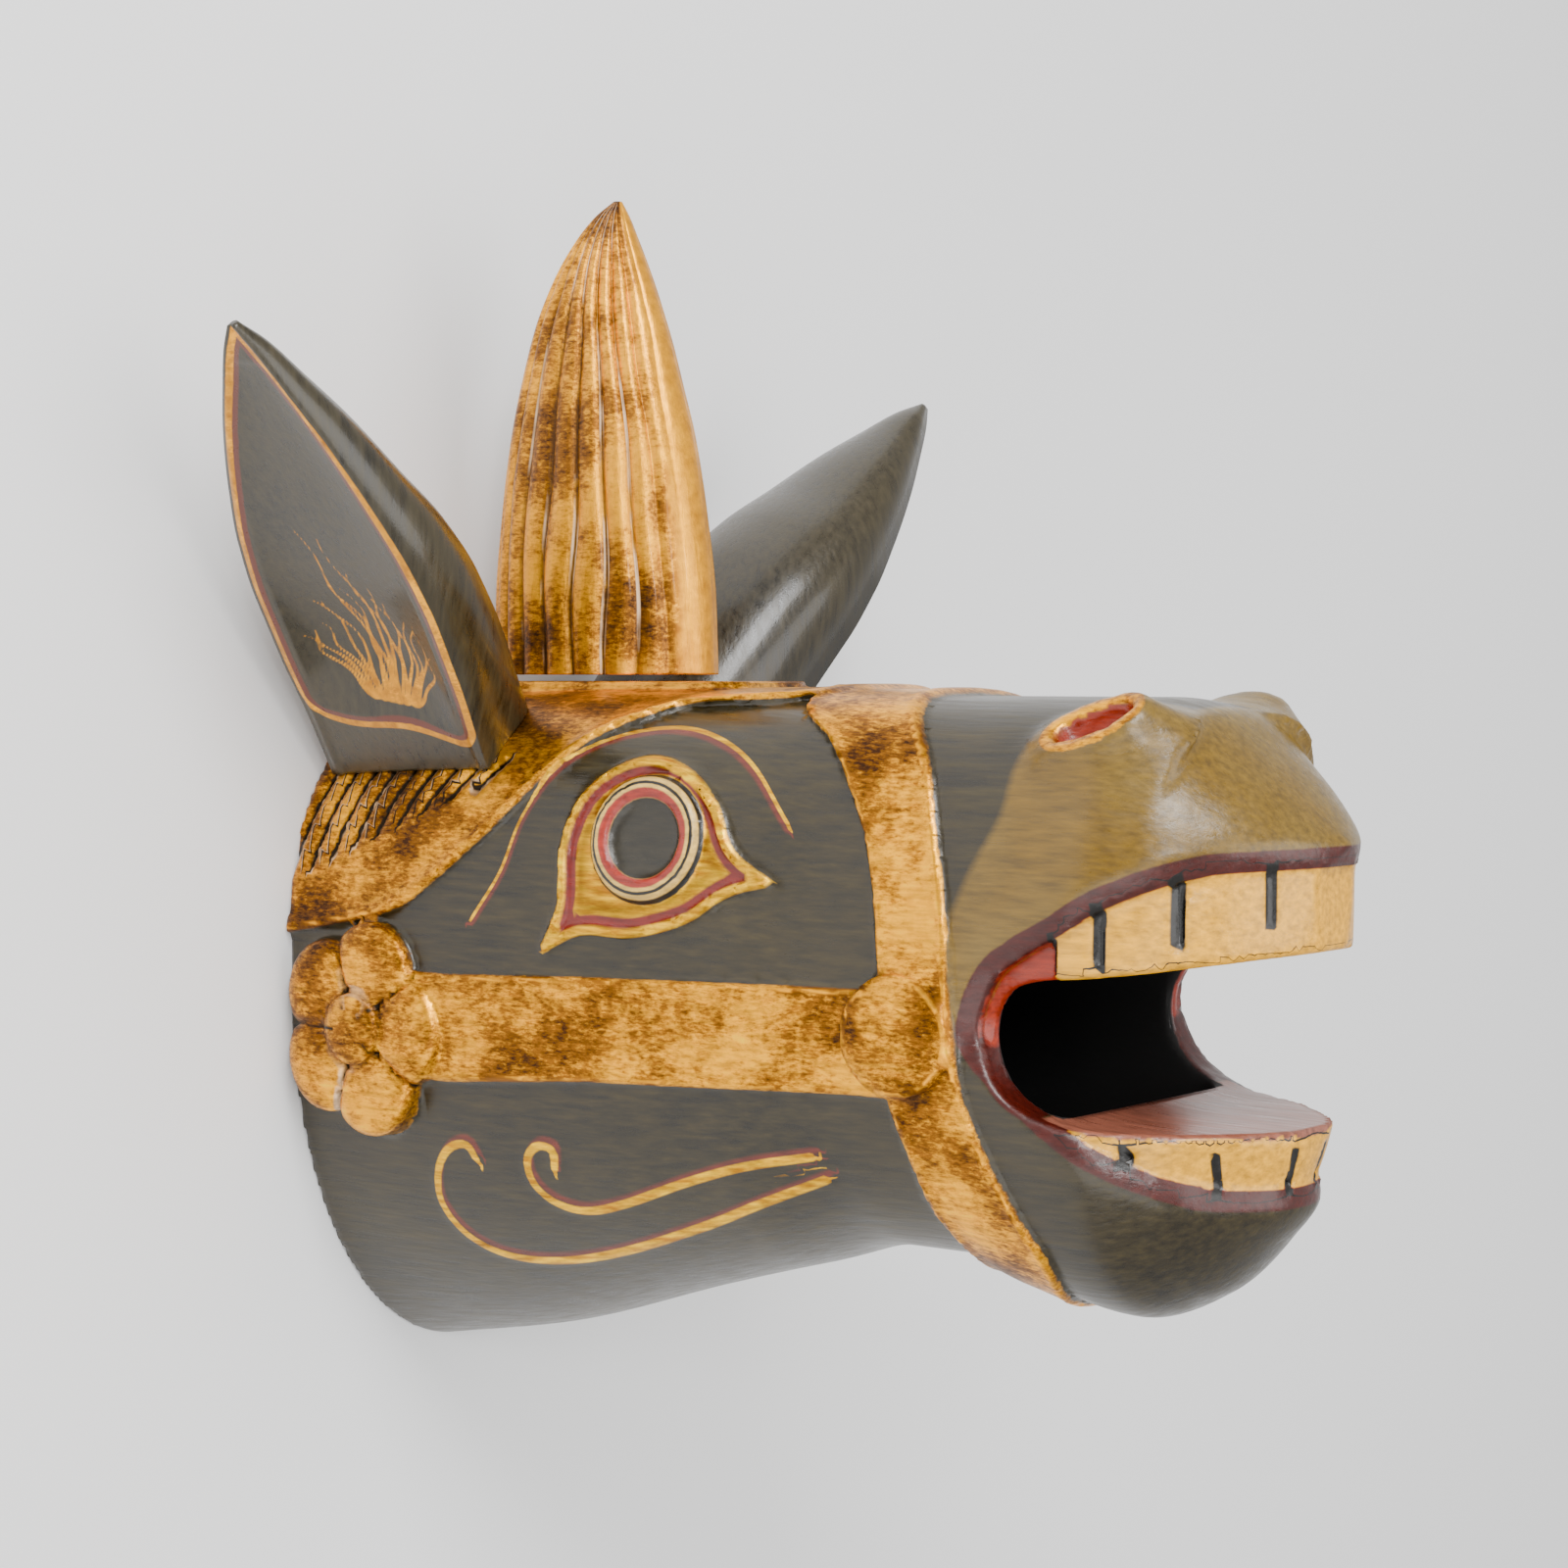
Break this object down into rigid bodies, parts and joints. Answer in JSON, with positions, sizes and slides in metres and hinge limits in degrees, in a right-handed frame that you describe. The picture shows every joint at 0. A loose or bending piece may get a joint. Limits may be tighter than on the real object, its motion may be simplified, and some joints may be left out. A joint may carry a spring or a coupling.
{
  "type": "carved wooden animal mask",
  "caption": "Hollow carved and painted wooden horse-head mask with an open toothed mouth, gilded halter, upright leaf-shaped ears and a fluted gilded forelock",
  "frame": {"origin": "the middle of the bounding box in X and Y, on the plane of the flat back rim that the mask lies on", "axes": "Z+ points up out of the back rim towards the horse's nose; X+ is the horse's right side; Y- is the crown of the head with the forelock and ears, Y+ is the jaw"},
  "size_m": [0.3542, 0.398, 0.355],
  "materials": {
    "lacquer": "dark lacquered carved wood, semi-gloss",
    "gold_leaf": "gilded carved wood, worn satin"
  },
  "bodies": {
    "root": {"head": "lacquer", "ear_right": "lacquer", "ear_left": "lacquer", "forelock": "gold_leaf"}
  },
  "joints": []
}
